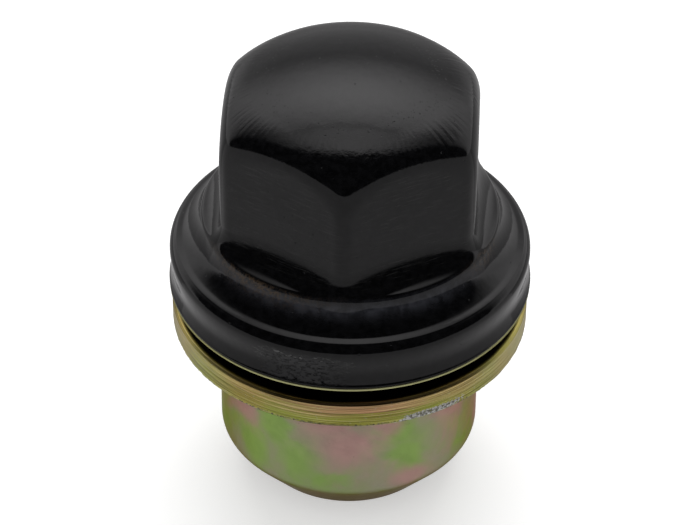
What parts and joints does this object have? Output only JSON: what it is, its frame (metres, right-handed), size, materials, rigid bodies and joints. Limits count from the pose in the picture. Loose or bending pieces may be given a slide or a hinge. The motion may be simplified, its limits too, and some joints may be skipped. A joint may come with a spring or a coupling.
{
  "type": "lug nut",
  "caption": "Capped wheel lug nut: black domed hexagon with a round flange over a yellow-zinc shank with a conical nose, a tapped hole and a captive washer that spins.",
  "frame": {"origin": "centre of the flat end of the nose, on the nut's axis", "axes": "+Z along the nut's axis from the threaded end up to the dome; +X square to one pair of the hexagon's flats"},
  "size_m": [0.0394, 0.0394, 0.0525],
  "materials": {
    "black_paint": "gloss black paint over drawn steel sheet",
    "nut_zinc": "satin yellow-zinc plating with green and pink tints",
    "washer_zinc": "turned yellow-zinc plating"
  },
  "bodies": {
    "nut": {"cap": "black_paint", "nut_body": "nut_zinc"},
    "washer": {"washer": "washer_zinc"}
  },
  "joints": [
    {"name": "washer_spin", "type": "hinge", "parent": "nut", "child": "washer", "pos_m": [0, 0, 0.0211], "axis": [0, 0, 1], "continuous": true}
  ]
}
